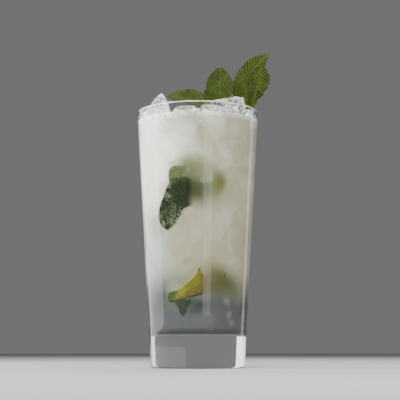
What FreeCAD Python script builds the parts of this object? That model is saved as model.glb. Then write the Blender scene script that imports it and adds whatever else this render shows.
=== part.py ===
import FreeCAD, Part
import math
import os
from collections import namedtuple

# A tall mojito in its tapered, heavy-based highball glass, in millimetres.
# The glass stands on z = 0 with its axis on Z, and the drinker sits on the -Y side.
# The drink is one solid up to its level. Cracked ice lies half sunk in it, and two
# small sprigs of mint stand in the ice at the +X side.

Vector = FreeCAD.Vector

# Glass
glass_height = 158.0
rim_radius = 37.5
base_radius = 28.6
wall = 2.0
base_thickness = 20.5
base_edge_radius = 1.8
floor_corner_radius = 4.0
lip_radius = min(0.9, 0.45 * wall)

# Drink
level_below_rim = 6.5

# Cracked ice
ice_depth = 9.0
ice_wall_gap = 0.4
ice_gap = 0.8
ice_corner_cut = 2.0
# Each lump: its share of the mouth's radius, its angle round the mouth, how far it
# stands above the drink, which way its top slopes down and how steeply, and how far
# its sides lean in above the drink.
Lump = namedtuple("Lump", "share angle rise slope_azimuth slope lean")
ice_lumps = {
    "ice_peak": Lump(0.76, 196.0, 21.5, 350.0, 14.0, 15.8),
    "ice_left_front": Lump(0.90, 221.0, 6.3, 220.0, 9.0, 14.0),
    "ice_front_left": Lump(0.68, 254.0, 6.2, 250.0, 9.0, 12.0),
    "ice_front": Lump(0.70, 288.0, 6.4, 300.0, 8.0, 14.0),
    "ice_block": Lump(0.62, 334.0, 12.8, 0.0, 2.0, 4.0),
    "ice_right": Lump(0.95, 353.0, 6.4, 0.0, 10.0, 8.0),
    "ice_left": Lump(0.97, 184.0, 6.2, 170.0, 8.0, 12.0),
    "ice_back_left": Lump(0.74, 138.0, 8.0, 120.0, 12.0, 16.0),
    "ice_centre": Lump(0.18, 190.0, 7.5, 100.0, 10.0, 14.0),
    "ice_back_right": Lump(0.72, 44.0, 6.5, 60.0, 12.0, 14.0),
}
# The one place between the lumps where no ice stands above the drink.
open_share = 0.68
open_angle = 90.0

# Mint stems: the right one's distance from the glass wall, and how the middle one
# stands off from it.
stem_radius = 1.2
stem_tip_radius = 0.9
stem_depth = 10.0
stem_wall_gap = 3.0
right_stem_side = 6.0
right_stem_rise = 6.0
middle_stem_offset = (-18.5, 1.0)
middle_stem_rise = 11.0

# Mint leaves
stalk_half_width = 0.6
leaf_rib_thickness = 0.9
leaf_edge_thickness = 0.4
leaf_tip_half_width = 0.3
tooth_depth = 0.07
tooth_spacing = 3.0
tip_sharpness = 0.8
# Each leaf: its stem, how far below the stem's tip it grows, the azimuth and
# elevation it sets off in, the azimuth and elevation its upper side faces, the
# lengths of its stalk and blade, its width and where along it that lies, how far it
# bends away from its upper side and how far sideways over its length, and how much
# its sides fold up.
Leaf = namedtuple(
    "Leaf", "stem drop growth facing stalk length width broadest droop sway fold"
)
mint_leaves = {
    "mint_leaf_left": Leaf("middle", 1.0, (183, 24), (250, 48), 2.5, 32.0, 17.0, 0.42, 26, 0, 0.22),
    "mint_leaf_small": Leaf("middle", 1.4, (200, 55), (265, 25), 2.0, 13.0, 9.0, 0.4, 20, 0, 0.3),
    "mint_leaf_middle": Leaf("middle", 0.2, (60, 85), (270, 5), 2.5, 25.0, 18.0, 0.4, 8, 0, 0.2),
    "mint_leaf_right": Leaf("right", 1.4, (345, 75), (270, 5), 2.0, 32.0, 14.5, 0.7, 10, 0, 0.2),
    "mint_leaf_tall": Leaf("right", 0.2, (158, 72), (265, 0), 2.5, 44.5, 17.5, 0.4, 12, -71, 0.15),
}

# What follows from them
drink_level = glass_height - level_below_rim
wall_slope = (rim_radius - base_radius) / glass_height
ice_bottom = drink_level - ice_depth
ice_block_height = 60.0


def outer_radius(z):
    return base_radius + wall_slope * z


def inner_radius(z):
    return outer_radius(z) - wall


def heading(azimuth, elevation):
    """The unit vector at an azimuth from +X and an elevation, in degrees."""
    a = math.radians(azimuth)
    e = math.radians(elevation)
    return Vector(math.cos(e) * math.cos(a), math.cos(e) * math.sin(a), math.sin(e))


def turned(vector, axis, degrees):
    return FreeCAD.Rotation(axis, degrees).multVec(vector)


def leaning(level_direction, degrees):
    """A level direction tipped up by an angle."""
    a = math.radians(degrees)
    return level_direction * math.cos(a) + Vector(0, 0, math.sin(a))


def section_point(radius, z):
    """A point of a section that is spun about Z."""
    return Vector(radius, 0, z)


def rounded_chain(corners):
    """Edges from the first corner to the last, each (radius, z, rounding) corner between them rounded."""
    edges = []
    start = section_point(*corners[0][:2])
    for before, here, after in zip(corners, corners[1:], corners[2:]):
        corner = section_point(*here[:2])
        back = (section_point(*before[:2]) - corner).normalize()
        ahead = (section_point(*after[:2]) - corner).normalize()
        rounding = here[2]
        if rounding > 0:
            half_angle = back.getAngle(ahead) / 2
            reach = rounding / math.tan(half_angle)
            inwards = (back + ahead).normalize()
            middle = corner + inwards * (rounding / math.sin(half_angle) - rounding)
            arc_start = corner + back * reach
            arc_end = corner + ahead * reach
            edges.append(Part.makeLine(start, arc_start))
            edges.append(Part.Arc(arc_start, middle, arc_end).toShape())
            start = arc_end
        else:
            edges.append(Part.makeLine(start, corner))
            start = corner
    edges.append(Part.makeLine(start, section_point(*corners[-1][:2])))
    return edges


def spun(edges):
    """The solid of a closed section spun about Z."""
    face = Part.Face(Part.Wire(Part.__sortEdges__(edges)))
    return face.revolve(Vector(0, 0, 0), Vector(0, 0, 1), 360)


def cavity_corners(top):
    """The inside of the glass from its floor on the axis up its wall to a height."""
    return [
        (0, base_thickness, 0),
        (inner_radius(base_thickness), base_thickness, floor_corner_radius),
        (inner_radius(top), top, 0),
    ]


def glass():
    """A tapered tumbler with a thick, flat base and a rounded lip."""
    corners = [
        (0, 0, 0),
        (base_radius, 0, base_edge_radius),
        (rim_radius, glass_height, lip_radius),
        (inner_radius(glass_height), glass_height, lip_radius),
    ]
    corners += reversed(cavity_corners(glass_height)[:2])
    axis = Part.makeLine(section_point(0, base_thickness), section_point(0, 0))
    return spun(rounded_chain(corners) + [axis])


def drink_body():
    """What fills the glass from its floor to the drink's level."""
    chain = rounded_chain(cavity_corners(drink_level) + [(0, drink_level, 0)])
    axis = Part.makeLine(section_point(0, drink_level), section_point(0, base_thickness))
    return spun(chain + [axis])


def cut_off(solid, point, outwards):
    """The solid without what lies beyond a plane, which passes through a point."""
    size = 8 * rim_radius
    block = Part.makeBox(size, size, size, Vector(-size / 2, -size / 2, 0))
    block.Placement = FreeCAD.Placement(point, FreeCAD.Rotation(Vector(0, 0, 1), outwards))
    return solid.cut(block)


def place_in_mouth(share, angle):
    """A point on the drink's surface, at a share of the mouth's radius."""
    radius = share * (inner_radius(drink_level) - ice_wall_gap)
    return heading(angle, 0) * radius + Vector(0, 0, drink_level)


def ice_lump(name):
    """A cracked lump: its share of the mouth, parted from its neighbours by flat cracks."""
    facts = ice_lumps[name]
    here = place_in_mouth(facts.share, facts.angle)
    lump = Part.makeCone(
        inner_radius(ice_bottom) - ice_wall_gap,
        inner_radius(ice_bottom + ice_block_height) - ice_wall_gap,
        ice_block_height,
        Vector(0, 0, ice_bottom),
    )
    others = [place_in_mouth(other.share, other.angle) for other in ice_lumps.values()]
    others.append(place_in_mouth(open_share, open_angle))
    for other in others:
        if other.distanceToPoint(here) > 0:
            apart = (other - here).normalize()
            crack = here + (other - here) / 2 - apart * (ice_gap / 2)
            lump = cut_off(lump, crack, apart)
            lump = cut_off(lump, crack, leaning(apart, facts.lean))
    shoulder = place_in_mouth(1.0, facts.angle) + Vector(0, 0, 0.6 * level_below_rim)
    lump = cut_off(lump, shoulder, leaning(heading(facts.angle, 0), facts.lean))
    top = here + Vector(0, 0, facts.rise)
    lump = cut_off(lump, top, heading(facts.slope_azimuth, 90 - facts.slope))
    for corner in range(3):
        side = heading(facts.slope_azimuth + 70 + 110 * corner, 38)
        reach = max(side.dot(vertex.Point - top) for vertex in lump.Vertexes)
        lump = cut_off(lump, top + side * (reach - ice_corner_cut), side)
    return lump


def stem_line(name):
    """The lowest point and the tip of a sprig's stem."""
    wall_side = inner_radius(drink_level) - stem_wall_gap
    right_foot = Vector(math.sqrt(wall_side**2 - right_stem_side**2), right_stem_side, drink_level)
    if name == "right":
        foot = right_foot
        rise = right_stem_rise
        lean = Vector(0.12, 0, 0)
    else:
        foot = right_foot + Vector(*middle_stem_offset, 0)
        rise = middle_stem_rise
        lean = Vector(0, -0.1, 0)
    along = (Vector(0, 0, 1) + lean).normalize()
    return foot - along * stem_depth, foot + along * rise


def stem(name):
    """A sprig's stem with its rounded tip."""
    low, tip = stem_line(name)
    rod = Part.makeCone(stem_radius, stem_tip_radius, (tip - low).Length, low, tip - low)
    return rod.fuse(Part.makeSphere(stem_tip_radius, tip)).removeSplitter()


def blade_half_width(along, facts):
    """Half the leaf's width at a share of its length, before the teeth are cut."""
    root = tip_sharpness * facts.broadest / (1 - facts.broadest)
    greatest = facts.broadest**root * (1 - facts.broadest) ** tip_sharpness
    return facts.width / 2 * along**root * (1 - along) ** tip_sharpness / greatest


def leaf_section(point, side, up, half_width, fold):
    """A closed slice across the blade, thick at the midrib and thin at its edges."""
    upper = []
    lower = []
    for across in (-1.0, -0.5, 0.0, 0.5, 1.0):
        lift = fold * half_width * across**2
        middle = point + side * (across * half_width) + up * lift
        thickness = leaf_rib_thickness + (leaf_edge_thickness - leaf_rib_thickness) * abs(across)
        upper.append(middle + up * (thickness / 2))
        lower.append(middle - up * (thickness / 2))
    outline = upper + lower[::-1]
    return Part.makePolygon(outline + outline[:1])


def leaf(name):
    """A toothed, folded and arched mint leaf on its short stalk, lofted along its midrib."""
    facts = mint_leaves[name]
    low, tip = stem_line(facts.stem)
    point = tip + (low - tip).normalize() * facts.drop
    forward = heading(*facts.growth)
    side = forward.cross(heading(*facts.facing)).normalize()
    up = side.cross(forward)
    stations = 2 * round(facts.length / tooth_spacing)
    sections = [leaf_section(point, side, up, stalk_half_width, facts.fold)]
    point = point + forward * facts.stalk
    for station in range(stations + 1):
        along = station / stations
        half_width = blade_half_width(along, facts) * (1 - tooth_depth * (station % 2))
        least = stalk_half_width if along < facts.broadest else leaf_tip_half_width
        sections.append(leaf_section(point, side, up, max(half_width, least), facts.fold))
        forward = turned(forward, side, -facts.droop / stations)
        up = turned(up, side, -facts.droop / stations)
        forward = turned(forward, up, facts.sway / stations)
        side = turned(side, up, facts.sway / stations)
        point = point + forward * (facts.length / stations)
    return Part.makeLoft(sections, True, True)


def without(solid, others):
    """The solid's largest piece once the others are cut out of it."""
    near = [other for other in others if solid.BoundBox.intersect(other.BoundBox)]
    if near:
        solid = solid.cut(Part.makeCompound(near))
    return max(solid.Solids, key=lambda piece: piece.Volume)


def build():
    """Every piece by its name. What stands in another piece is cut out of it."""
    pieces = {"glass": glass()}
    stems = {"mint_stem_" + name: stem(name) for name in ("middle", "right")}
    leaves = {}
    for name in mint_leaves:
        leaves[name] = without(leaf(name), list(stems.values()) + list(leaves.values()))
    mint = list(stems.values()) + list(leaves.values())
    ice = {name: without(ice_lump(name), mint) for name in ice_lumps}
    pieces["drink"] = without(drink_body(), mint + list(ice.values()))
    pieces.update(ice)
    pieces.update(stems)
    pieces.update(leaves)
    return pieces


def main():
    os.makedirs("parts", exist_ok=True)
    for name, solid in build().items():
        solid.exportStep(f"parts/{name}.step")
        box = solid.BoundBox
        print(
            f"{name}: {solid.Volume / 1000:.2f} cm3, valid {solid.isValid()}, "
            f"{len(solid.Faces)} faces, z {box.ZMin:.1f} to {box.ZMax:.1f}, "
            f"x {box.XMin:.1f} to {box.XMax:.1f}, y {box.YMin:.1f} to {box.YMax:.1f}"
        )


main()
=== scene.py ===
import math

import bpy
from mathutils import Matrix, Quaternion, Vector


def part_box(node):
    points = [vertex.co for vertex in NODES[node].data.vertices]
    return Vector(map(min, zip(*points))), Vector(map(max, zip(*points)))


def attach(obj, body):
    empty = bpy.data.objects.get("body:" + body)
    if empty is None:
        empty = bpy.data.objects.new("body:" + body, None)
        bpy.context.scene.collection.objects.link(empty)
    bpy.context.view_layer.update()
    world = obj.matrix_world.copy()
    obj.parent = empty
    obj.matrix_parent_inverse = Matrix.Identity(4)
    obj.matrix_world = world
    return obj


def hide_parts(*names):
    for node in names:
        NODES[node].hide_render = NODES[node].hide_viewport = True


bl_info = {
    "name": "Mojito",
    "version": (1, 0, 0),
    "blender": (4, 5, 0),
    "location": "3D View > Sidebar > Mojito",
    "description": "Builds an iced mojito with mint in a tall tumbler",
    "category": "Object",
}

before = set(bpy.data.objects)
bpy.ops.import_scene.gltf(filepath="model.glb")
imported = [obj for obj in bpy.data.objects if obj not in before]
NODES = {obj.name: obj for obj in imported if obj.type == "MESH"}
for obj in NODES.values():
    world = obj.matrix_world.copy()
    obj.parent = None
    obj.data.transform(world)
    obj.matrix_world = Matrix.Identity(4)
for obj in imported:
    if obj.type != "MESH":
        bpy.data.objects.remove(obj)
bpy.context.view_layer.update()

MM = 0.001
UP = Vector((0, 0, 1))
VEIN_SPACING = 2.7 * MM
LEAF_NODES = (
    "mint_leaf_left",
    "mint_leaf_small",
    "mint_leaf_middle",
    "mint_leaf_right",
    "mint_leaf_tall",
)
STEM_NODES = {"middle": "mint_stem_middle", "right": "mint_stem_right"}
ICE_NODES = sorted(name for name in NODES if name.startswith("ice_"))


# ---------------------------------------------------------------- sizes


def ring(node, low, high):
    """The radius and height of a node's widest point between two heights."""
    inside = [v.co for v in NODES[node].data.vertices if low <= v.co.z <= high]
    widest = max(inside, key=lambda co: co.xy.length)
    return widest.xy.length, widest.z


DRINK_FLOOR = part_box("drink")[0][2]
DRINK_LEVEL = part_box("drink")[1][2]
LOW_RING = ring("drink", DRINK_FLOOR, DRINK_FLOOR + 6 * MM)
HIGH_RING = ring("drink", DRINK_LEVEL - 1 * MM, DRINK_LEVEL)


def wall_radius(z):
    """The inside radius of the glass's wall at a height."""
    share = (z - LOW_RING[1]) / (HIGH_RING[1] - LOW_RING[1])
    return LOW_RING[0] + share * (HIGH_RING[0] - LOW_RING[0])


def on_wall(degrees, z, inwards=0.0):
    """A point on the inside of the wall: degrees to the right of the front, and a height."""
    angle = math.radians(degrees - 90)
    radius = wall_radius(z) - inwards
    return Vector((radius * math.cos(angle), radius * math.sin(angle), z))


# ---------------------------------------------------------------- settings


def length(name, description, default):
    return bpy.props.FloatProperty(
        name=name, description=description, default=default, unit="LENGTH", precision=5
    )


def number(name, description, default):
    return bpy.props.FloatProperty(name=name, description=description, default=default)


def count(name, description, default):
    return bpy.props.IntProperty(name=name, description=description, default=default)


def colour(name, description, default):
    return bpy.props.FloatVectorProperty(
        name=name, description=description, default=default, size=3, subtype="COLOR", min=0, max=1
    )


class MojitoDrink(bpy.types.PropertyGroup):
    overlap: length("Overlap", "How far the drink reaches into the wall", 0.12 * MM)
    meniscus: length("Meniscus", "How far the surface creeps up the wall", 0.4 * MM)
    # Painted light: the drink's left side is painted lighter, as if lit from the left, and whiter
    # towards the top; its middle and right are painted darker as its shaded side.
    bright: colour("Bright", "Cloudy drink where it is packed with ice", (0.92, 0.90, 0.85))
    shaded_side: colour("Dull", "Cloudy drink with less ice in it", (0.365, 0.35, 0.245))
    lit_lower: colour("Cool", "The same, in the lower half of the glass", (0.52, 0.53, 0.52))
    # Painted shade: the drink painted darker near the floor of the glass.
    shaded_floor: colour("Deep", "Thin drink near the floor of the glass", (0.075, 0.079, 0.080))


class MojitoCrushedIce(bpy.types.PropertyGroup):
    chips: count("Chips", "How many chips of crushed ice lie against the wall", 130)
    frost: count("Frost", "How many chips are pressed to the wall at the drink's level", 150)
    slush: count("Slush", "How many small lumps float along the wall at the top", 130)
    smallest: length("Smallest", "Width of the smallest chip", 2.5 * MM)
    largest: length("Largest", "Width of the largest chip", 8.0 * MM)
    tint: colour("Tint", "Colour of the chips", (0.80, 0.81, 0.77))


class MojitoSunkMint(bpy.types.PropertyGroup):
    wet: colour("Wet leaf", "Mint leaf sunk in the drink", (0.013, 0.026, 0.004))
    # Painted shade: the colour the sunk leaves are darkened to where their written shadow lies.
    shaded_leaf: colour("Faded leaf", "The part of it that lies deeper", (0.016, 0.024, 0.006))


class MojitoLime(bpy.types.PropertyGroup):
    flesh: colour("Flesh", "Flesh of the lime", (0.165, 0.168, 0.004))
    shaded_flesh: colour("Deep flesh", "Flesh away from the light", (0.075, 0.060, 0.001))
    rind: colour("Rind", "Green rind of the lime", (0.035, 0.066, 0.004))
    swell: length("Swell", "How far the juice sacs swell", 0.35 * MM)


class MojitoIce(bpy.types.PropertyGroup):
    grain: length("Grain", "Size of the finest shape on a lump", 0.6 * MM)
    dent: length("Dent", "Depth of the melted hollows", 0.7 * MM)
    tint: colour("Tint", "Colour of the lumps", (0.70, 0.75, 0.77))


class MojitoMint(bpy.types.PropertyGroup):
    tooth_depth: length("Tooth depth", "Depth of the teeth on a leaf's edge", 1.5 * MM)
    quilting: length("Quilting", "How far the leaf swells between its veins", 0.5 * MM)
    vein_spacing: length("Vein spacing", "Distance between side veins", VEIN_SPACING)
    ripple: length("Ripple", "How far the leaf waves up and down", 1.0 * MM)
    thickness: length("Thickness", "Thickness of a leaf", 0.35 * MM)
    upper: colour("Upper side", "Fresh leaf from above", (0.046, 0.074, 0.0025))
    under: colour("Underside", "Fresh leaf from below", (0.085, 0.115, 0.02))
    stem: colour("Stem", "Stalks of the sprigs", (0.12, 0.17, 0.04))


class MojitoStage(bpy.types.PropertyGroup):
    floor: colour("Floor", "Plain pale floor", (0.46, 0.46, 0.455))
    light: number("Light", "Strength of the studio lights", 1.0)


SETTINGS = {
    "mojito_drink": MojitoDrink,
    "mojito_crushed_ice": MojitoCrushedIce,
    "mojito_sunk_mint": MojitoSunkMint,
    "mojito_lime": MojitoLime,
    "mojito_ice": MojitoIce,
    "mojito_mint": MojitoMint,
    "mojito_stage": MojitoStage,
}


# ---------------------------------------------------------------- node trees


class Socket:
    """An output of a node, on which Python's operators add Math nodes."""

    def __init__(self, tree, socket):
        self.tree = tree
        self.socket = socket

    def math(self, operation, *values, clamp=False):
        inputs = dict(enumerate(values))
        settings = {"operation": operation, "use_clamp": clamp}
        return self.tree.add("ShaderNodeMath", settings, inputs)

    def __add__(self, other):
        return self.math("ADD", self, other)

    __radd__ = __add__

    def __sub__(self, other):
        return self.math("SUBTRACT", self, other)

    def __rsub__(self, other):
        return self.math("SUBTRACT", other, self)

    def __mul__(self, other):
        return self.math("MULTIPLY", self, other)

    __rmul__ = __mul__

    def __truediv__(self, other):
        return self.math("DIVIDE", self, other)

    def __rtruediv__(self, other):
        return self.math("DIVIDE", other, self)

    def __pow__(self, other):
        return self.math("POWER", self, other)

    def __neg__(self):
        return self.math("MULTIPLY", self, -1.0)

    def __abs__(self):
        return self.math("ABSOLUTE", self)

    def most(self, other):
        return self.math("MAXIMUM", self, other)

    def sine(self):
        return self.math("SINE", self)

    def fraction(self):
        return self.math("FRACT", self)

    def clamped(self):
        return self.math("ADD", self, 0.0, clamp=True)

    def between(self, low, high):
        """0 at low and 1 at high, eased at both ends."""
        values = {"Value": self, "From Min": low, "From Max": high}
        return self.tree.add("ShaderNodeMapRange", {"interpolation_type": "SMOOTHSTEP"}, values)


class Tree:
    """A node tree, to which nodes are added with their settings and their values or links."""

    def __init__(self, tree):
        self.tree = tree

    def add(self, kind, settings=None, values=None, output=0):
        node = self.tree.nodes.new(kind)
        for name, value in (settings or {}).items():
            setattr(node, name, value)
        for key, value in (values or {}).items():
            self.feed(node.inputs[key], value)
        return self.output(node, output)

    def output(self, node, output):
        return Socket(self, node.outputs[output]) if node.outputs else None

    def feed(self, socket, value):
        if isinstance(value, Socket):
            self.tree.links.new(value.socket, socket)
        elif value is not None:
            socket.default_value = value

    def vector(self, operation, *values):
        inputs = dict(enumerate(values))
        return self.add("ShaderNodeVectorMath", {"operation": operation}, inputs)

    def scaled(self, vector, factor):
        values = {0: vector, "Scale": factor}
        return self.add("ShaderNodeVectorMath", {"operation": "SCALE"}, values)

    def mixed(self, factor, a, b):
        """Colour a where the factor is 0, and b where it is 1."""
        a, b = (c if isinstance(c, Socket) else (*tuple(c)[:3], 1.0) for c in (a, b))
        values = {"Factor": factor, 6: a, 7: b}
        return self.add("ShaderNodeMix", {"data_type": "RGBA"}, values, 2)

    def noise(self, place, scale, detail=2.0, roughness=0.5, distortion=0.0):
        values = {
            "Vector": place,
            "Scale": scale,
            "Detail": detail,
            "Roughness": roughness,
            "Distortion": distortion,
        }
        return self.add("ShaderNodeTexNoise", {}, values)

    def cells(self, place, scale, feature="DISTANCE_TO_EDGE", output=0):
        values = {"Vector": place, "Scale": scale}
        return self.add("ShaderNodeTexVoronoi", {"feature": feature}, values, output)

    def written(self, name):
        """The number that is written on a mesh's points by this name."""
        return self.add("ShaderNodeAttribute", {"attribute_name": name}, output="Fac")


def material(name, surface, roughness=0.5, **unchanging):
    """A procedural material: surface(tree, place) gives the linked inputs of its shader."""
    made = bpy.data.materials.new(name)
    made.use_nodes = True
    made.node_tree.nodes.clear()
    tree = Tree(made.node_tree)
    place = tree.add("ShaderNodeTexCoord", output="Object")
    see_through = unchanging.pop("lets_light", False)
    values = {"Roughness": roughness}
    values.update(unchanging)
    values.update(surface(tree, place))
    shader = tree.add("ShaderNodeBsdfPrincipled", {}, values)
    if see_through:
        shadow = tree.add("ShaderNodeLightPath", output="Is Shadow Ray")
        clear = tree.add("ShaderNodeBsdfTransparent")
        shader = tree.add("ShaderNodeMixShader", {}, {0: shadow, 1: shader, 2: clear})
    tree.add("ShaderNodeOutputMaterial", {}, {"Surface": shader})
    return made


def bump(tree, height, distance, strength=1.0):
    values = {"Height": height, "Distance": distance, "Strength": strength}
    return tree.add("ShaderNodeBump", {}, values)


# ---------------------------------------------------------------- pieces


def finished(name, mesh, materials, replaces=()):
    """The finished piece, which rides with the glass and stands for its CAD nodes."""
    piece = bpy.data.objects.new(name, mesh)
    bpy.context.scene.collection.objects.link(piece)
    mesh.materials.clear()
    for entry in materials:
        mesh.materials.append(entry)
    if replaces:
        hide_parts(*replaces)
    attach(piece, "root")


def mesh_of(name, points, faces):
    """A smoothly shaded mesh."""
    mesh = bpy.data.meshes.new(name)
    mesh.from_pydata(points, [], faces)
    mesh.validate()
    for face in mesh.polygons:
        face.use_smooth = True
    return mesh


def lathe(name, profile, segments):
    """A closed mesh turned about the glass's axis, from (radius, z) points from pole to pole."""
    points = []
    faces = []
    rings = []
    for radius, z in profile:
        if radius < 1e-7:
            rings.append([len(points)] * segments)
            points.append((0, 0, z))
            continue
        rings.append(list(range(len(points), len(points) + segments)))
        for step in range(segments):
            angle = 2 * math.pi * step / segments
            points.append((radius * math.cos(angle), radius * math.sin(angle), z))
    for low, high in zip(rings, rings[1:]):
        for step in range(segments):
            after = (step + 1) % segments
            corners = [low[step], low[after], high[after], high[step]]
            faces.append(list(dict.fromkeys(corners)))
    return mesh_of(name, points, faces)


def evaluated(owner):
    """The mesh of an object with its modifiers, which then is a plain mesh."""
    bpy.context.view_layer.update()
    graph = bpy.context.evaluated_depsgraph_get()
    mesh = bpy.data.meshes.new_from_object(owner.evaluated_get(graph))
    bpy.data.objects.remove(owner)
    return mesh


def worker(mesh):
    """An object that carries a mesh while it is shaped."""
    owner = bpy.data.objects.new("worker", mesh)
    bpy.context.scene.collection.objects.link(owner)
    return owner


class GeometryTree(Tree):
    """A Geometry Nodes tree with named inputs, which ends in Realize Instances and Set Material."""

    def __init__(self, name, sizes, counts=()):
        super().__init__(bpy.data.node_groups.new(name, "GeometryNodeTree"))
        face = self.tree.interface
        face.new_socket("Geometry", in_out="INPUT", socket_type="NodeSocketGeometry")
        for size in sizes:
            face.new_socket(size, in_out="INPUT", socket_type="NodeSocketFloat")
        for whole in counts:
            face.new_socket(whole, in_out="INPUT", socket_type="NodeSocketInt")
        face.new_socket("Material", in_out="INPUT", socket_type="NodeSocketMaterial")
        face.new_socket("Geometry", in_out="OUTPUT", socket_type="NodeSocketGeometry")
        self.source = self.tree.nodes.new("NodeGroupInput")

    def given(self, name):
        return self.output(self.source, name)

    def attribute(self, name, kind="FLOAT"):
        return self.add("GeometryNodeInputNamedAttribute", {"data_type": kind}, {"Name": name})

    def end(self, geometry):
        whole = self.add("GeometryNodeRealizeInstances", {}, {0: geometry})
        values = {"Geometry": whole, "Material": self.given("Material")}
        painted = self.add("GeometryNodeSetMaterial", {}, values)
        self.add("NodeGroupOutput", {}, {0: painted})

    def give(self, owner, **values):
        """Adds the tree to an object as a modifier with its inputs set."""
        modifier = owner.modifiers.new("shape", "NODES")
        modifier.node_group = self.tree
        for entry in self.tree.interface.items_tree:
            if entry.in_out == "INPUT" and entry.name in values:
                modifier[entry.identifier] = values[entry.name]


# ---------------------------------------------------------------- glass


def glass_surface(tree, place):
    waviness = tree.noise(place, 18.0, 1.0)
    return {
        "Base Color": tree.mixed(waviness, (0.955, 0.985, 0.972), (0.985, 0.995, 0.99)),
        "Normal": bump(tree, waviness, 0.0006, 0.25),
    }


class MOJITO_OT_glass(bpy.types.Operator):
    """Give the tumbler its clear glass"""

    bl_idname = "mojito.glass"
    bl_label = "Glass"

    def execute(self, context):
        clear = material(
            "clear_glass",
            glass_surface,
            roughness=0.0,
            lets_light=True,
            IOR=1.5,
            **{"Transmission Weight": 1.0},
        )
        tumbler = NODES["glass"]
        for slot in tumbler.material_slots:
            slot.material = clear
        return {"FINISHED"}


# ---------------------------------------------------------------- drink


# What shows dimly through the drink, and a painted shadow under the lime wedge: degrees from the
# front, height, half width, half height, colour and strength.
DIM_SHAPES = (
    (-52, 112 * MM, 14 * MM, 24 * MM, (0.86, 0.84, 0.66), 0.8),
    (-7, 118 * MM, 15 * MM, 9 * MM, (0.12, 0.15, 0.045), 0.85),
    (-5, 105.5 * MM, 20 * MM, 11.5 * MM, (0.05, 0.065, 0.022), 0.97),
    (21.5, 107.5 * MM, 4.4 * MM, 12 * MM, (0.115, 0.125, 0.025), 0.95),
    (24, 98 * MM, 12 * MM, 9 * MM, (0.28, 0.28, 0.17), 0.5),
    (16, 53 * MM, 14 * MM, 11 * MM, (0.14, 0.12, 0.035), 0.88),
    (29, 49.0 * MM, 15 * MM, 9 * MM, (0.075, 0.083, 0.025), 0.86),
    (30, 54.5 * MM, 1.0 * MM, 1.3 * MM, (0.02, 0.03, 0.01), 0.95),
    # Painted shadow under the lime wedge.
    (-4, 36.5 * MM, 11 * MM, 5 * MM, (0.015, 0.026, 0.026), 0.95),
    (-14, 63 * MM, 4 * MM, 3 * MM, (0.20, 0.22, 0.13), 0.6),
    (-22, 38 * MM, 12 * MM, 7 * MM, (0.09, 0.11, 0.07), 0.75),
    (-22, 47 * MM, 9 * MM, 5 * MM, (0.36, 0.42, 0.22), 0.6),
    (36, 151.5 * MM, 13 * MM, 5 * MM, (0.28, 0.30, 0.31), 0.75),
)


def drink_surface(settings):
    def surface(tree, place):
        x = tree.add("ShaderNodeSeparateXYZ", {}, {0: place})
        z = tree.output(x.socket.node, 2)
        height = (z - DRINK_FLOOR) / (DRINK_LEVEL - DRINK_FLOOR)
        clouds = tree.noise(place, 55.0, 4.0, 0.55, 0.4)
        swirl = tree.noise(place, 22.0, 2.0, 0.5, 0.8)
        # Painted light: across runs from the left side, painted lighter as if lit from the left, to
        # the middle and right, painted darker as the shaded side; the lit side is whiter towards
        # the top.
        across = (x * 30.0 + (swirl - 0.5) * 1.6 - (height - 0.5) * 0.5).between(-1.0, -0.2)
        lit_colour = tree.mixed(height.between(0.72, 0.38), settings.bright, settings.lit_lower)
        milk = tree.mixed(across, lit_colour, settings.shaded_side)
        # Painted shade: the drink darker towards the floor of the glass, where less light reaches.
        depth = (height + (swirl - 0.5) * 0.22).between(0.32, 0.12)
        milk = tree.mixed(depth, milk, settings.shaded_floor)
        flakes = tree.cells(place, 95.0, "F1", "Color")
        flake = tree.add("ShaderNodeSeparateColor", {}, {0: flakes})
        top = height.between(0.90, 1.0)
        flaky = top * 0.5 + (1.0 - depth) * 0.10
        shade = (clouds - 0.5) * (1.15 - depth) + (flake - 0.5) * flaky
        milk = tree.mixed(shade.most(0.0), milk, (0.88, 0.88, 0.84))
        milk = tree.mixed((-shade).most(0.0), milk, tuple(c * 0.7 for c in settings.shaded_side))
        blur = tree.add(
            "ShaderNodeTexNoise", {}, {"Vector": place, "Scale": 90.0, "Detail": 3.0}, "Color"
        )
        moved = tree.vector("SUBTRACT", blur, (0.5, 0.5, 0.5))
        stirred = tree.vector("ADD", place, tree.scaled(moved, 7 * MM))
        for degrees, low, half_width, half_height, tone, strength in DIM_SHAPES:
            apart = tree.vector("SUBTRACT", stirred, tuple(on_wall(degrees, low)))
            wide = 1 / half_width
            shares = tree.vector("MULTIPLY", apart, (wide, wide, 1 / half_height))
            away = tree.add(
                "ShaderNodeVectorMath", {"operation": "LENGTH"}, {0: shares}, "Value"
            )
            milk = tree.mixed(away.between(1.25, 0.15) * strength, milk, tone)
        return {"Base Color": milk, "Normal": bump(tree, clouds, 0.0006, 0.2)}

    return surface


def drink_profile(settings):
    """The drink from its floor on the axis to the middle of its surface, just into the wall."""
    corner = 4.0 * MM
    floor = DRINK_FLOOR - settings.overlap
    profile = [(0, floor)]
    low = wall_radius(floor + corner) + settings.overlap - corner
    for step in range(5):
        profile.append((low * (step + 1) / 5, floor))
    for step in range(1, 9):
        angle = math.pi / 2 * step / 8
        profile.append((low + corner * math.sin(angle), floor + corner * (1 - math.cos(angle))))
    rows = 40
    start = floor + corner
    for step in range(1, rows + 1):
        z = start + (DRINK_LEVEL + settings.meniscus - start) * step / rows
        profile.append((wall_radius(z) + settings.overlap, z))
    edge = wall_radius(DRINK_LEVEL)
    for step in range(0, 10):
        inwards = (0.1 + 0.35 * step) * MM
        rise = settings.meniscus * math.exp(-1.1 * 0.35 * step)
        profile.append((edge - inwards, DRINK_LEVEL + rise))
    for step in range(6, -1, -1):
        profile.append((edge * 0.85 * step / 6, DRINK_LEVEL))
    return profile


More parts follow.
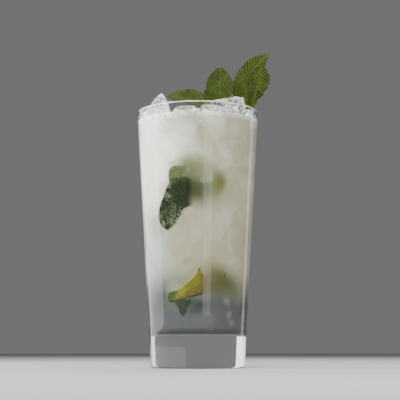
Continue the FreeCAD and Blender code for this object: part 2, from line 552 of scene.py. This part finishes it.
class MOJITO_OT_drink(bpy.types.Operator):
    """Fill the glass with the cloudy drink"""

    bl_idname = "mojito.drink"
    bl_label = "Drink"

    def execute(self, context):
        settings = context.scene.mojito_drink
        cloudy = material(
            "cloudy_drink",
            drink_surface(settings),
            roughness=0.35,
            IOR=1.33,
            **{
                "Specular IOR Level": 0.1,
                "Subsurface Weight": 0.2,
                "Subsurface Radius": (1.0, 1.0, 0.9),
                "Subsurface Scale": 0.003,
            },
        )
        mesh = lathe("drink", drink_profile(settings), 160)
        finished("cloudy_drink", mesh, [cloudy], ["drink"])
        return {"FINISHED"}


# ---------------------------------------------------------------- sunk pieces


def wall_frame(degrees):
    """The way outwards through the wall, and the way round it to the right."""
    angle = math.radians(degrees - 90)
    out = Vector((math.cos(angle), math.sin(angle), 0))
    right = Vector((-math.sin(angle), math.cos(angle), 0))
    return out, right


def grid(columns, rows):
    """The quads between rows of points, which are numbered row by row."""
    wide = columns + 1
    faces = []
    for row in range(rows):
        for column in range(columns):
            corner = row * wide + column
            faces.append((corner, corner + 1, corner + 1 + wide, corner + wide))
    return faces


def sheet(name, columns, rows, place):
    """Quads from place(u, v), which gives a point and what is written on it by name."""
    points = []
    written = {}
    for row in range(rows + 1):
        for column in range(columns + 1):
            point, facts = place(column / columns, row / rows)
            points.append(point)
            for key, value in facts.items():
                written.setdefault(key, []).append(value)
    mesh = mesh_of(name, points, grid(columns, rows))
    for key, values in written.items():
        write(mesh, key, values)
    return mesh


def write(mesh, name, values):
    """Writes one number or vector on each point of a mesh."""
    if isinstance(values[0], float):
        layer = mesh.attributes.new(name, "FLOAT", "POINT")
        layer.data.foreach_set("value", values)
    else:
        layer = mesh.attributes.new(name, "FLOAT_VECTOR", "POINT")
        layer.data.foreach_set("vector", [part for value in values for part in value])


def eased(value, low, high):
    """0 at low and 1 at high, eased at both ends."""
    share = min(1.0, max(0.0, (value - low) / (high - low)))
    return share * share * (3 - 2 * share)


def between_points(points, at):
    """The value at a place along a smooth line through (place, value) points."""
    last = len(points) - 1
    part = next((i for i in range(last) if at <= points[i + 1][0]), last - 1)
    (x0, y0), (x1, y1) = points[part], points[part + 1]
    before, after = points[max(part - 1, 0)], points[min(part + 2, last)]
    run = x1 - x0
    leaving = run * (y1 - before[1]) / (x1 - before[0])
    arriving = run * (after[1] - y0) / (after[0] - x0)
    t = (at - x0) / run
    first = (2 * t - 3) * t * t + 1
    return first * y0 + (1 - first) * y1 + (t - 1) ** 2 * t * leaving + (t - 1) * t * t * arriving


def chip_tree():
    """Scatters chips of ice over the face it is given, flat to it."""
    sizes = ("Smallest", "Largest", "Thickness")
    tree = GeometryTree("crushed ice", sizes, ("Chips", "Seed"))
    side = tree.given("Geometry")
    seed = tree.given("Seed")
    values = {
        "Mesh": side,
        "Distance Min": tree.given("Smallest"),
        "Density Max": 60000.0,
        "Seed": seed,
    }
    spots = tree.add(
        "GeometryNodeDistributePointsOnFaces", {"distribute_method": "POISSON"}, values
    )
    turns = tree.output(spots.socket.node, "Rotation")
    index = tree.add("GeometryNodeInputIndex")
    given = tree.add("GeometryNodeAttributeDomainSize", {"component": "POINTCLOUD"}, {0: spots})
    luck = tree.add("FunctionNodeRandomValue", {}, {"ID": index, "Seed": seed}, 1)
    extra = luck.math("GREATER_THAN", luck, tree.given("Chips") / given)
    kept = tree.add("GeometryNodeDeleteGeometry", {}, {"Geometry": spots, "Selection": extra})
    lump = tree.add("GeometryNodeMeshIcoSphere", {}, {"Radius": 0.5, "Subdivisions": 2})
    place = tree.add("GeometryNodeInputPosition")
    rough = tree.add("ShaderNodeTexWhiteNoise", {}, {0: place}, "Color")
    shift = tree.scaled(tree.vector("SUBTRACT", rough, (0.5, 0.5, 0.5)), 0.22)
    lump = tree.add("GeometryNodeSetPosition", {}, {"Geometry": lump, "Offset": shift})

    def drawn(low, high, draw):
        values = {2: low, 3: high, "ID": index, "Seed": draw}
        return tree.add("FunctionNodeRandomValue", {"data_type": "FLOAT"}, values, 1)

    angle = drawn(0.0, 2 * math.pi, seed)
    turned_flat = tree.add("ShaderNodeCombineXYZ", {}, {"Z": angle})
    values = {"Rotation": turns, "Rotate By": turned_flat}
    turns = tree.add("FunctionNodeRotateRotation", {"rotation_space": "LOCAL"}, values)
    wide = drawn(tree.given("Smallest"), tree.given("Largest"), None)
    narrow = drawn(0.5, 0.9, seed)
    values = {"X": wide, "Y": wide * narrow, "Z": tree.given("Thickness")}
    size = tree.add("ShaderNodeCombineXYZ", {}, values)
    values = {"Points": kept, "Instance": lump, "Rotation": turns, "Scale": size}
    tree.end(tree.add("GeometryNodeInstanceOnPoints", {}, values))
    return tree


def chip_surface(settings):
    def surface(tree, place):
        clouds = tree.noise(place, 120.0, 3.0)
        tint = tuple(settings.tint)
        return {
            "Base Color": tree.mixed(clouds, tint, tuple(c * 0.8 for c in tint)),
            "Alpha": clouds.between(0.46, 0.66) * 0.11,
            "Normal": bump(tree, clouds, 0.001, 0.4),
        }

    return surface


# Start and span in degrees of the ring of small ice, left open before the clear block.
AROUND_BLOCK = (60, 318)
CHIP_THICKNESS = 0.5 * MM
SLUSH_THICKNESS = 5.0 * MM


def frost_surface(tree, place):
    clouds = tree.noise(place, 300.0, 3.0)
    wide = tree.noise(place, 70.0, 2.0)
    return {
        "Base Color": tree.mixed(wide, (0.50, 0.50, 0.45), (0.86, 0.86, 0.83)),
        "Alpha": clouds.between(0.36, 0.58) * 0.6,
        "Normal": bump(tree, clouds, 0.001, 0.4),
    }


def slush_surface(tree, place):
    cloud = tree.noise(place, 160.0, 3.0)
    return {
        "Base Color": tree.mixed(cloud, (0.86, 0.88, 0.86), (0.98, 0.98, 0.97)),
        "Normal": bump(tree, tree.noise(place, 500.0, 2.0), 0.0004, 0.5),
    }


class MOJITO_OT_crushed_ice(bpy.types.Operator):
    """Press chips of crushed ice against the wall"""

    bl_idname = "mojito.crushed_ice"
    bl_label = "Crushed ice"

    def execute(self, context):
        settings = context.scene.mojito_crushed_ice
        scatter = chip_tree()

        def lay(name, made, ring, rows, heights, inwards, widths, **sizes):
            """Scatters one piece's chips over a ring on the wall."""
            (start, span), (low, high) = ring, heights

            def place(u, v):
                return on_wall(start + span * u, low + (high - low) * v, inwards), {}

            owner = worker(sheet(name, 120, rows, place))
            scatter.give(owner, Smallest=widths[0], Largest=widths[1], Material=made, **sizes)
            finished(name, evaluated(owner), [made])

        faint = {"Specular IOR Level": 0.2}
        chips = material("crushed_ice", chip_surface(settings), roughness=0.25, IOR=1.31, **faint)
        lay(
            "crushed_ice",
            chips,
            (0, 360),
            30,
            (DRINK_FLOOR + 4 * MM, DRINK_LEVEL),
            -0.12 * MM,
            (settings.smallest, settings.largest),
            Chips=settings.chips,
            Thickness=CHIP_THICKNESS,
            Seed=4,
        )
        lay(
            "pressed_frost",
            material("frost", frost_surface, roughness=0.3, **faint),
            AROUND_BLOCK,
            4,
            (DRINK_LEVEL - 4.5 * MM, DRINK_LEVEL + 0.8 * MM),
            -0.14 * MM,
            (2.0 * MM, settings.largest),
            Chips=settings.frost,
            Thickness=CHIP_THICKNESS,
            Seed=7,
        )
        slush = material(
            "slush",
            slush_surface,
            roughness=0.1,
            lets_light=True,
            IOR=1.31,
            **{"Transmission Weight": 0.6},
        )
        lay(
            "floating_slush",
            slush,
            AROUND_BLOCK,
            3,
            (DRINK_LEVEL - 1.0 * MM, DRINK_LEVEL + 2.6 * MM),
            3.2 * MM,
            (2.2 * MM, 8.0 * MM),
            Chips=settings.slush,
            Thickness=SLUSH_THICKNESS,
            Seed=11,
        )
        return {"FINISHED"}


# Each sunk leaf, crumpled flat against the wall: its edges as (height, left, right) in
# millimetres and degrees from the front, from which degree to which the drink hides
# it, how much of it shows where it isn't hidden, and how milky it looks.
SUNK_LEAVES = {
    "sunk_leaf": (
        (
            (82.0, -34.8, -32.8), (83.5, -39.5, -28.5), (86.0, -44.0, -23.0), (90.0, -46.0, -18.5),
            (94.5, -44.5, -13.0), (97.0, -42.5, 0.0), (99.0, -41.0, 3.0), (103.0, -37.0, 2.0),
            (107.5, -33.5, 4.0), (110.5, -30.0, -2.0), (112.5, -27.0, -9.0), (113.5, -23.0, -14.0),
        ),
        (-17, 1), 1.0, 0.0,
    ),
    "sunk_leaf_fold": (
        (
            (109.5, -30.0, -6.0), (113.0, -31.0, 2.0), (116.5, -30.0, 4.0),
            (119.0, -27.0, 2.0), (120.0, -22.0, -4.0),
        ),
        (-26, 2), 0.75, 0.75,
    ),
    "sunk_leaf_low": (
        (
            (30.8, -17.6, -16.4), (33.0, -21.0, -13.5), (36.0, -22.0, -11.5),
            (38.0, -26.0, -8.0), (41.0, -27.0, -6.0),
        ),
        (-12, -2), 0.95, 0.0,
    ),
}
SUNK_TOOTH_DEPTH = 0.9 * MM
SUNK_RIPPLE = 0.15 * MM
SUNK_THICKNESS = 0.8 * MM


def sunk_blade(name):
    """A sunk leaf as a sheet on the wall, and its length."""
    edges, (seen, hidden), shown, milky = SUNK_LEAVES[name]
    low, high = edges[0][0], edges[-1][0]
    lefts = [(z, left) for z, left, _ in edges]
    rights = [(z, right) for z, _, right in edges]

    def place(u, v):
        z = low + (high - low) * v
        left, right = between_points(lefts, z), between_points(rights, z)
        degrees = left + (right - left) * u
        half = math.radians(right - left) / 2 * wall_radius(z * MM)
        out, sideways = wall_frame(degrees)
        facts = {
            "along": 1.0 - v,
            "across": 2 * u - 1,
            "half": half,
            "size": (high - low) * MM,
            "fade": (1.0 - eased(degrees, seen, hidden)) * shown * eased(1.0 - v, 0.0, 0.08),
            "milky": milky,
            "shadow": eased(degrees, -31, -24) * eased(z, 95, 100) if z > 60 else 0.7,
            "up": tuple(out),
            "side": tuple(sideways),
        }
        return on_wall(degrees, z * MM, -0.45 * MM), facts

    return sheet(name, 60, 60, place), (high - low) * MM


def thicken(owner, depth):
    """Closes a sheet into a solid that reaches inwards from it."""
    thick = owner.modifiers.new("thickness", "SOLIDIFY")
    thick.thickness = depth
    thick.offset = -1.0


def sunk_leaf_surface(settings):
    def surface(tree, place):
        seen = tree.written("fade")
        shadow = tree.written("shadow")
        milky = tree.written("milky")
        cells = tree.cells(place, 560.0)
        patches = tree.noise(place, 230.0, 4.0, 0.65)
        dark = tuple(c * 0.4 for c in settings.wet)
        leaf = tree.mixed(patches.between(0.40, 0.60), settings.wet, dark)
        net = cells.between(0.26, 0.06) * patches.between(0.40, 0.58)
        pale = tree.noise(place, 70.0, 2.0).between(0.36, 0.56) * (1.0 - shadow)
        leaf = tree.mixed(net * (pale * 0.75 + 0.10), leaf, (0.24, 0.28, 0.17))
        # Painted shade: the leaf darkened where its written shadow lies.
        leaf = tree.mixed(shadow * 0.6, leaf, settings.shaded_leaf)
        leaf = tree.mixed(milky, leaf, (0.13, 0.165, 0.06))
        haze = tree.noise(place, 120.0, 3.0)
        shown = (seen * 1.5 - haze * 0.5).clamped()
        relief = patches * 0.8 + cells * 1.5
        return {
            "Base Color": leaf,
            "Alpha": shown,
            "Normal": bump(tree, relief, 0.0006, 0.7),
        }

    return surface


class MOJITO_OT_sunk_mint(bpy.types.Operator):
    """Sink the mint leaves against the wall"""

    bl_idname = "mojito.sunk_mint"
    bl_label = "Sunk mint"

    def execute(self, context):
        settings = context.scene.mojito_sunk_mint
        wet = material("wet_mint", sunk_leaf_surface(settings), **{"Specular IOR Level": 0.1})
        relief = leaf_tree()
        for seed, name in enumerate(SUNK_LEAVES):
            mesh, size = sunk_blade(name)
            owner = worker(mesh)
            relief.give(
                owner,
                **{
                    "Length": size,
                    "Tooth Depth": SUNK_TOOTH_DEPTH,
                    "Quilting": 0.3 * MM,
                    "Vein Spacing": VEIN_SPACING,
                    "Ripple": SUNK_RIPPLE,
                    "Seed": 20.0 + seed,
                    "Material": wet,
                },
            )
            thicken(owner, SUNK_THICKNESS)
            finished(name, evaluated(owner), [wet])
        return {"FINISHED"}


# The lime wedge's lower and upper edge on the wall: degrees from the front, height.
LIME_LOWER = ((-37, 41 * MM), (-34, 39 * MM), (-28, 39.2 * MM), (-10, 41 * MM), (14, 43.5 * MM))
LIME_UPPER = (
    (-37, 42 * MM),
    (-34, 45 * MM),
    (-24, 46.2 * MM),
    (-15, 50 * MM),
    (-3, 56 * MM),
    (1.8, 59.8 * MM),
    (4.5, 57.5 * MM),
    (14, 55 * MM),
)
LIME_DEPTH = 8 * MM


def lime_tree():
    """Swells the flesh into juice sacs that point to the wedge's inner edge."""
    tree = GeometryTree("lime flesh", ("Swell",))
    u = tree.attribute("along")
    v = tree.attribute("across")
    up = tree.attribute("up", "FLOAT_VECTOR")
    spread = tree.add("ShaderNodeCombineXYZ", {}, {"X": u * 9.0, "Y": v * 13.0})
    sacs = tree.cells(spread, 1.0, "SMOOTH_F1")
    height = (0.6 - sacs) * tree.given("Swell")
    values = {"Geometry": tree.given("Geometry"), "Offset": tree.scaled(up, height)}
    tree.end(tree.add("GeometryNodeSetPosition", {}, values))
    return tree


def lime_surface(settings):
    def surface(tree, place):
        u = tree.written("along")
        v = tree.written("across")
        seen = tree.written("fade")
        spread = tree.add("ShaderNodeCombineXYZ", {}, {"X": u * 9.0, "Y": v * 13.0})
        sacs = tree.cells(spread, 1.0, "F1")
        soft = tree.noise(place, 130.0, 3.0)
        # Painted shade: the flesh darker towards its lower edge and, less, towards its right end.
        flesh = tree.mixed(v.between(0.75, 0.1), settings.flesh, settings.shaded_flesh)
        flesh = tree.mixed(sacs.between(0.3, 0.8) * 0.26, flesh, (0.46, 0.43, 0.09))
        flesh = tree.mixed(u.between(0.30, 0.62) * 0.5, flesh, settings.shaded_flesh)
        pith = tree.mixed(v.between(0.78, 1.0) * 0.5, flesh, (0.46, 0.50, 0.16))
        edge = (u + (0.35 - v) * 0.12 + (soft - 0.5) * 0.1).between(0.30, 0.16)
        rind = tree.mixed(edge, pith, settings.rind)
        # Painted shade: a dark band along the wedge's lower edge.
        below = (v + (soft - 0.5) * 0.1).between(0.16, 0.02)
        rind = tree.mixed(below * 0.8, rind, (0.03, 0.035, 0.005))
        tip = (u.between(0.71, 0.745) * u.between(0.80, 0.765) * v.between(0.84, 0.91)).clamped()
        rind = tree.mixed(tip * 0.95, rind, (0.02, 0.035, 0.005))
        rim = (v + (soft - 0.5) * 0.06).between(1.0, 0.93) * u.between(0.0, 0.05)
        shown = (seen * rim).most(tip)
        return {"Base Color": rind, "Alpha": shown, "Normal": bump(tree, sacs, 0.0005, 0.4)}

    return surface


class MOJITO_OT_lime(bpy.types.Operator):
    """Sink the lime wedge against the wall"""

    bl_idname = "mojito.lime"
    bl_label = "Lime wedge"

    def execute(self, context):
        settings = context.scene.mojito_lime
        first, last = LIME_LOWER[0][0], LIME_LOWER[-1][0]

        def place(u, v):
            degrees = first + (last - first) * u
            low = between_points(LIME_LOWER, degrees)
            high = between_points(LIME_UPPER, degrees)
            z = low + (high - low) * v
            out, _ = wall_frame(degrees)
            rounding = eased(min(v, 1 - v), 0.0, 0.12) * eased(u, 0.0, 0.08)
            fade = 1.0 - eased(degrees, 0.0, 13.0)
            facts = {"along": u, "across": v, "fade": fade, "up": tuple(out)}
            return on_wall(degrees, z, (0.1 - 0.75 * rounding) * MM), facts

        lime = material(
            "lime_flesh", lime_surface(settings), roughness=0.4, **{"Specular IOR Level": 0.1}
        )
        owner = worker(sheet("lime", 90, 40, place))
        lime_tree().give(owner, Swell=settings.swell, Material=lime)
        thicken(owner, LIME_DEPTH)
        finished("lime_wedge", evaluated(owner), [lime])
        return {"FINISHED"}


# ---------------------------------------------------------------- ice lumps


def ice_tree():
    """Melts a lump: hollows and facets pushed in along its normals."""
    tree = GeometryTree("melted lump", ("Dent", "Seed"))
    place = tree.add("GeometryNodeInputPosition")
    normal = tree.add("GeometryNodeInputNormal")
    hollows = tree.add(
        "ShaderNodeTexNoise",
        {"noise_dimensions": "4D"},
        {"Vector": place, "W": tree.given("Seed"), "Scale": 130.0, "Detail": 2.0},
    )
    facets = tree.add(
        "ShaderNodeTexVoronoi",
        {"feature": "F1", "voronoi_dimensions": "4D"},
        {"Vector": place, "W": tree.given("Seed"), "Scale": 150.0},
    )
    depth = (hollows * 1.2 + facets * 1.3 - 0.2) * tree.given("Dent")
    values = {"Geometry": tree.given("Geometry"), "Offset": tree.scaled(normal, -depth)}
    tree.end(tree.add("GeometryNodeSetPosition", {}, values))
    return tree


def ice_surface(settings):
    def surface(tree, place):
        cloud = tree.noise(place, 75.0, 3.0, 0.6, 0.5).between(0.46, 0.72)
        fine = tree.noise(place, 260.0, 2.0)
        cracks = tree.cells(place, 120.0)
        relief = fine * 0.15 + cracks.between(0.0, 0.10) * 0.8
        return {
            "Base Color": tree.mixed(cloud, settings.tint, (0.96, 0.97, 0.97)),
            "Normal": bump(tree, relief, 0.0005, 0.5),
        }

    return surface


class MOJITO_OT_ice(bpy.types.Operator):
    """Lay the cracked lumps of ice in the top of the drink"""

    bl_idname = "mojito.ice"
    bl_label = "Ice lumps"

    def execute(self, context):
        settings = context.scene.mojito_ice
        ice = material(
            "clear_ice",
            ice_surface(settings),
            roughness=0.06,
            lets_light=True,
            IOR=1.31,
            **{"Transmission Weight": 0.97},
        )
        melt = ice_tree()
        for seed, name in enumerate(ICE_NODES):
            owner = worker(NODES[name].data.copy())
            weld = owner.modifiers.new("weld", "WELD")
            weld.merge_threshold = 0.01 * MM
            remesh = owner.modifiers.new("remesh", "REMESH")
            remesh.mode = "VOXEL"
            remesh.voxel_size = settings.grain
            smooth = owner.modifiers.new("smooth", "SMOOTH")
            smooth.iterations = 3
            melt.give(owner, Dent=settings.dent, Seed=seed * 3.7, Material=ice)
            mesh = evaluated(owner)
            for face in mesh.polygons:
                face.use_smooth = True
            finished("melted_" + name, mesh, [ice], [name])
        return {"FINISHED"}


# ---------------------------------------------------------------- mint

# Each leaf: its stem, how far below the stem's tip it grows, the azimuth and
# elevation it sets off in, the azimuth and elevation its upper side faces, the
# lengths of its stalk and blade, its width and where along it that lies, how far it
# bends away from its upper side and sideways, and how much its sides fold up.
LEAVES = {
    "mint_leaf_left": ("middle", 1.0, (183, 24), (250, 48), 2.5, 32.0, 17.0, 0.42, 26, 0, 0.22),
    "mint_leaf_small": ("middle", 1.4, (200, 55), (265, 25), 2.0, 13.0, 9.0, 0.4, 20, 0, 0.3),
    "mint_leaf_middle": ("middle", 0.2, (60, 85), (270, 5), 2.5, 25.0, 18.0, 0.4, 8, 0, 0.2),
    "mint_leaf_right": ("right", 1.4, (345, 75), (270, 5), 2.0, 32.0, 14.5, 0.7, 10, 0, 0.2),
    "mint_leaf_tall": ("right", 0.2, (158, 72), (265, 0), 2.5, 44.5, 17.5, 0.4, 12, -71, 0.15),
}
TIP_SHARPNESS = 0.8
STEM_TIP_RADIUS = 0.9 * MM
STALK_HALF_WIDTH = 0.6 * MM


def heading(azimuth, elevation):
    a = math.radians(azimuth)
    e = math.radians(elevation)
    return Vector((math.cos(e) * math.cos(a), math.cos(e) * math.sin(a), math.sin(e)))


def turned(vector, axis, degrees):
    return Quaternion(axis, math.radians(degrees)) @ vector


def stem_line(name):
    """The middle of a stem's foot and the middle of its rounded tip."""
    points = [v.co for v in NODES[STEM_NODES[name]].data.vertices]
    top = max(points, key=lambda co: co.z)
    bottom = min(co.z for co in points)
    foot = [co for co in points if co.z < bottom + 0.3 * MM]
    low = sum(foot, Vector()) / len(foot)
    return low, top - UP * STEM_TIP_RADIUS


def blade_half_width(along, width, broadest):
    root = TIP_SHARPNESS * broadest / (1 - broadest)
    greatest = broadest**root * (1 - broadest) ** TIP_SHARPNESS
    return width / 2 * along**root * (1 - along) ** TIP_SHARPNESS / greatest


def blade(name, rows, columns):
    """A leaf as a sheet of quads, with what its relief needs written on its points."""
    stem, drop, growth, facing, stalk, size, width, broadest, droop, sway, fold = LEAVES[name]
    low, tip = stem_line(stem)
    point = tip + (low - tip).normalized() * drop * MM
    forward = heading(*growth)
    side = forward.cross(heading(*facing)).normalized()
    up = side.cross(forward)
    points = []
    facts = []
    stalk_rows = 4
    for row in range(-stalk_rows, rows + 1):
        along = max(0.0, row / rows)
        half = blade_half_width(along, width * MM, broadest) if row > 0 else 0.0
        half = max(half, STALK_HALF_WIDTH if along < broadest else 0.15 * MM)
        for column in range(columns + 1):
            across = 2 * column / columns - 1
            lift = up * (fold * half * across**2)
            points.append(point + side * (across * half) + lift)
            facts.append((along if row > 0 else 0.0, across, half, tuple(up), tuple(side)))
        if row < 0:
            point = point + forward * (stalk * MM / stalk_rows)
            continue
        forward = turned(forward, side, -droop / rows)
        up = turned(up, side, -droop / rows)
        forward = turned(forward, up, sway / rows)
        side = turned(side, up, sway / rows)
        point = point + forward * (size * MM / rows)
    mesh = mesh_of(name, points, grid(columns, rows + stalk_rows))
    for fact, attribute in enumerate(("along", "across", "half", "up", "side")):
        write(mesh, attribute, [entry[fact] for entry in facts])
    return mesh


def leaf_tree():
    """Cuts the teeth of a leaf's edge, and swells its blade between its veins."""
    sizes = ("Length", "Tooth Depth", "Quilting", "Vein Spacing", "Ripple", "Seed")
    tree = GeometryTree("mint blade", sizes)
    along = tree.attribute("along")
    across = tree.attribute("across")
    half = tree.attribute("half")
    up = tree.attribute("up", "FLOAT_VECTOR")
    side = tree.attribute("side", "FLOAT_VECTOR")
    run = along * tree.given("Length")
    out = abs(across) * half
    vein = (run - out * 1.25) / tree.given("Vein Spacing")
    tooth = vein.fraction() ** 1.5
    edge = abs(across) ** 6.0
    body = (half / (2.5 * MM)).clamped()
    reach = (tooth - 0.65) * tree.given("Tooth Depth") * edge * body
    outwards = reach * across.math("SIGN", across)
    swell = abs((vein * math.pi).sine())
    middle = (out / (1.6 * MM)).clamped()
    relief = (swell * middle - 0.4) * tree.given("Quilting") * body
    place = tree.add("GeometryNodeInputPosition")
    ripple = tree.add(
        "ShaderNodeTexNoise",
        {"noise_dimensions": "4D"},
        {"Vector": place, "W": tree.given("Seed"), "Scale": 120.0, "Detail": 2.0},
    )
    wave = (ripple - 0.5) * (abs(across) ** 1.5 * 3.0 + 0.6) * tree.given("Ripple") * body
    offset = tree.vector("ADD", tree.scaled(side, outwards), tree.scaled(up, relief + wave))
    values = {"Geometry": tree.given("Geometry"), "Offset": offset}
    tree.end(tree.add("GeometryNodeSetPosition", {}, values))
    return tree


def leaf_surface(fresh, veins, patchiness):
    def surface(tree, place):
        along = tree.written("along")
        across = tree.written("across")
        half = tree.written("half")
        size = tree.written("size")
        out = abs(across) * half
        wander = tree.noise(place, 260.0, 2.0)
        vein = (along * size - out * 1.25) / VEIN_SPACING + (wander - 0.5) * 0.35
        from_vein = abs(vein.fraction() - 0.5)
        side_vein = from_vein.between(0.40, 0.5)
        midrib = out.between(0.6 * MM, 0.2 * MM)
        cells = tree.cells(place, 1100.0)
        net = cells.between(0.14, 0.02)
        patches = tree.noise(place, 150.0, 4.0, 0.65)
        pale = tuple(min(1.0, 0.008 + c * 1.5) for c in fresh)
        dark = tuple(c * 0.42 for c in fresh)
        leaf = tree.mixed(patches.between(0.38, 0.64) * patchiness, fresh, dark)
        leaf = tree.mixed(from_vein.between(0.3, 0.0) * 0.35, leaf, pale)
        lines = (side_vein * 0.35 + midrib * 0.7 + net * 0.25).clamped()
        leaf = tree.mixed(lines * veins, leaf, pale)
        relief = patches * 0.6 + cells * 2.5 - side_vein * 0.8
        return {
            "Base Color": leaf,
            "Roughness": patches * 0.25 + 0.34,
            "Normal": bump(tree, relief, 0.0005, 0.6),
        }

    return surface


class MOJITO_OT_mint(bpy.types.Operator):
    """Grow the two sprigs of mint"""

    bl_idname = "mojito.mint"
    bl_label = "Mint"

    def execute(self, context):
        settings = context.scene.mojito_mint
        upper = material(
            "mint_upper_side",
            leaf_surface(tuple(settings.upper), 0.7, 0.8),
            **{"Specular IOR Level": 0.18},
        )
        under = material(
            "mint_underside",
            leaf_surface(tuple(settings.under), 0.9, 0.4),
            **{"Specular IOR Level": 0.2},
        )
        relief = leaf_tree()
        for seed, name in enumerate(LEAF_NODES):
            size = LEAVES[name][5] * MM
            rows = 10 * round(size / settings.vein_spacing)
            mesh = blade(name, rows, 32)
            mesh.materials.append(upper)
            owner = worker(mesh)
            relief.give(
                owner,
                **{
                    "Length": size,
                    "Tooth Depth": settings.tooth_depth,
                    "Quilting": settings.quilting,
                    "Vein Spacing": settings.vein_spacing,
                    "Ripple": settings.ripple,
                    "Seed": seed * 5.3,
                    "Material": upper,
                },
            )
            thick = owner.modifiers.new("thickness", "SOLIDIFY")
            thick.thickness = settings.thickness
            thick.offset = 0.0
            thick.material_offset = 1
            mesh = evaluated(owner)
            write(mesh, "size", [size] * len(mesh.vertices))
            finished(name + "_blade", mesh, [upper, under], [name])
        stem = material("mint_stem", leaf_surface(tuple(settings.stem), 0.3, 0.5))
        for node in STEM_NODES.values():
            for slot in NODES[node].material_slots:
                slot.material = stem
        return {"FINISHED"}


# ---------------------------------------------------------------- stage


FLOOR_RADIUS = 3.0
CAMERA_PLACE = Vector((1.4 * MM, -0.730, 0.011))
CAMERA_TARGET = Vector((1.4 * MM, 0, 0.103))
SENSOR_WIDTH = 36
# How much of the scene the camera takes in from side to side, at the glass.
FRAMED_WIDTH = 247.2 * MM


def floor_surface(settings):
    def surface(tree, place):
        grain = tree.noise(place, 6.0, 3.0)
        floor = tuple(settings.floor)
        return {"Base Color": tree.mixed(grain, floor, tuple(c * 0.96 for c in floor))}

    return surface


def soft_light(name, place, target, width, height, power):
    """A soft lamp, unseen itself, that faces a target."""
    data = bpy.data.lights.new(name, "AREA")
    data.shape = "RECTANGLE"
    data.size = width
    data.size_y = height
    data.energy = power
    lamp = bpy.data.objects.new(name, data)
    lamp.location = place
    lamp.rotation_euler = (Vector(target) - Vector(place)).to_track_quat("-Z", "Y").to_euler()
    lamp.visible_camera = False
    bpy.context.scene.collection.objects.link(lamp)


class MOJITO_OT_stage(bpy.types.Operator):
    """Set the floor, the lights and the camera"""

    bl_idname = "mojito.stage"
    bl_label = "Stage"

    def execute(self, context):
        settings = context.scene.mojito_stage
        paper = material("floor_paper", floor_surface(settings), roughness=0.8)
        around = [math.pi * step / 48 for step in range(96)]
        edge = [(FLOOR_RADIUS * math.cos(a), FLOOR_RADIUS * math.sin(a), 0) for a in around]
        disc = mesh_of("floor", edge, [list(range(96))])
        floor = bpy.data.objects.new("floor", disc)
        disc.materials.append(paper)
        context.scene.collection.objects.link(floor)
        world = bpy.data.worlds.new("studio")
        context.scene.world = world
        world.use_nodes = True
        sky = Tree(world.node_tree)
        world.node_tree.nodes.clear()
        background = sky.add(
            "ShaderNodeBackground", {}, {"Color": (0.5, 0.5, 0.5, 1.0), "Strength": 0.34}
        )
        sky.add("ShaderNodeOutputWorld", {}, {"Surface": background})
        middle = (0, 0, 0.09)
        strength = settings.light
        soft_light("side_panel", (-0.37, 0.15, 0.151), (0, 0, 0.151), 0.46, 0.30, 1.1 * strength)
        soft_light("back_strip", (0.42, 0.30, 0.15), (0, 0, 0.15), 0.12, 0.30, 0.16 * strength)
        soft_light("strip", (0.14, -0.40, 0.14), (0, 0, 0.14), 0.13, 0.28, 0.17 * strength)
        soft_light("high_front", (-0.12, -0.62, 0.85), middle, 0.4, 0.4, 12 * strength)
        soft_light("high_left", (-0.75, -0.2, 0.7), middle, 0.4, 0.4, 7 * strength)
        soft_light("high_right", (0.70, -0.1, 0.7), middle, 0.4, 0.4, 4.5 * strength)
        soft_light("high_back", (0.15, 0.6, 0.8), middle, 0.5, 0.4, 5 * strength)
        data = bpy.data.cameras.new("camera")
        camera = bpy.data.objects.new("camera", data)
        context.scene.collection.objects.link(camera)
        sight = CAMERA_TARGET - CAMERA_PLACE
        camera.location = CAMERA_PLACE
        camera.rotation_euler = sight.to_track_quat("-Z", "Y").to_euler()
        data.sensor_width = SENSOR_WIDTH
        data.lens = SENSOR_WIDTH * sight.length / FRAMED_WIDTH
        context.scene.camera = camera
        return {"FINISHED"}


# ---------------------------------------------------------------- add-on

OPERATORS = (
    MOJITO_OT_glass,
    MOJITO_OT_drink,
    MOJITO_OT_crushed_ice,
    MOJITO_OT_sunk_mint,
    MOJITO_OT_lime,
    MOJITO_OT_ice,
    MOJITO_OT_mint,
    MOJITO_OT_stage,
)


class MOJITO_PT_panel(bpy.types.Panel):
    """Lists the pieces of the mojito"""

    bl_idname = "MOJITO_PT_panel"
    bl_label = "Mojito"
    bl_space_type = "VIEW_3D"
    bl_region_type = "UI"
    bl_category = "Mojito"

    def draw(self, context):
        for operator in OPERATORS:
            self.layout.operator(operator.bl_idname)


def register():
    for group in SETTINGS.values():
        bpy.utils.register_class(group)
    for operator in OPERATORS + (MOJITO_PT_panel,):
        bpy.utils.register_class(operator)
    for name, group in SETTINGS.items():
        setattr(bpy.types.Scene, name, bpy.props.PointerProperty(type=group))


def unregister():
    for name in SETTINGS:
        delattr(bpy.types.Scene, name)
    for operator in (MOJITO_PT_panel,) + OPERATORS[::-1]:
        bpy.utils.unregister_class(operator)
    for group in SETTINGS.values():
        bpy.utils.unregister_class(group)


def main():
    register()
    for operator in OPERATORS:
        step = getattr(bpy.ops.mojito, operator.bl_idname.split(".")[1])
        step()


if __name__ == "__main__":
    main()
